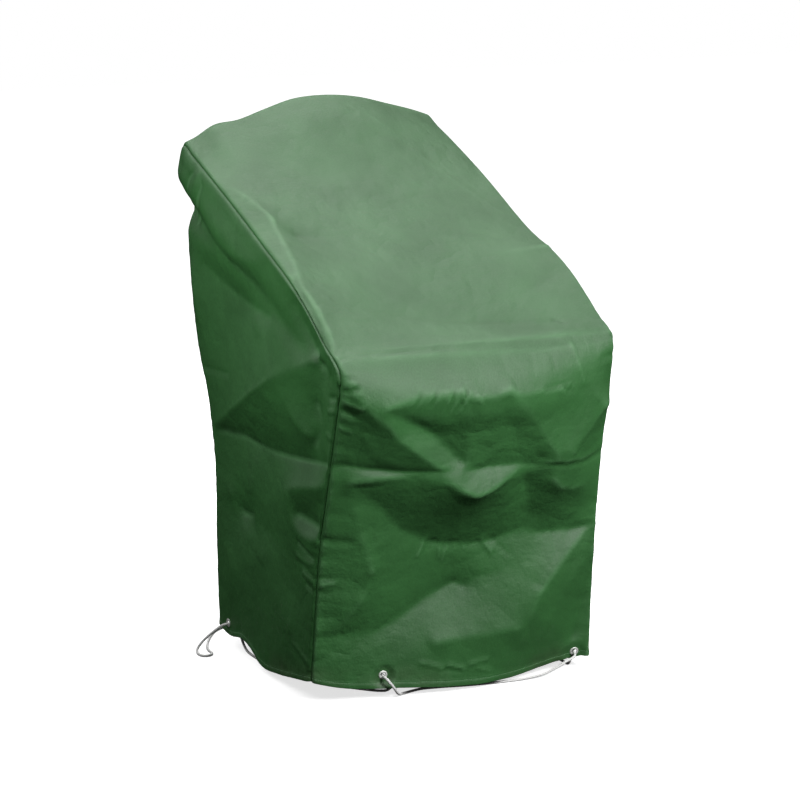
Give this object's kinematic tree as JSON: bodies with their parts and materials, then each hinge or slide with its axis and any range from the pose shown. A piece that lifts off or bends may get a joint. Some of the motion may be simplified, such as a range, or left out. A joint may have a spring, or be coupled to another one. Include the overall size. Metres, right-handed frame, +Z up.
{
  "type": "stacking chair cover",
  "caption": "Fitted cloth cover for a stack of garden chairs: sloped front, arched top, open below, with a drawcord through eyelets in the hem.",
  "frame": {"origin": "under the middle of the arched top, where the back of the tallest chair carries the cloth", "axes": "+Z up, -Y towards the low front over the seats, +X to the right of the cover seen from its front"},
  "size_m": [0.7647, 0.9305, 1.217],
  "materials": {
    "cloth": "plain woven polyester, matt, green",
    "eyelet": "plated, satin",
    "cord": "white braided cord"
  },
  "bodies": {
    "root": {"centre_strip": "cloth", "left_panel": "cloth", "right_panel": "cloth", "eyelet_front_left": "eyelet", "eyelet_front_right": "eyelet", "eyelet_left": "eyelet", "eyelet_right": "eyelet", "cord_front": "cord", "cord_left": "cord", "cord_right": "cord", "cord_back": "cord"}
  },
  "joints": []
}
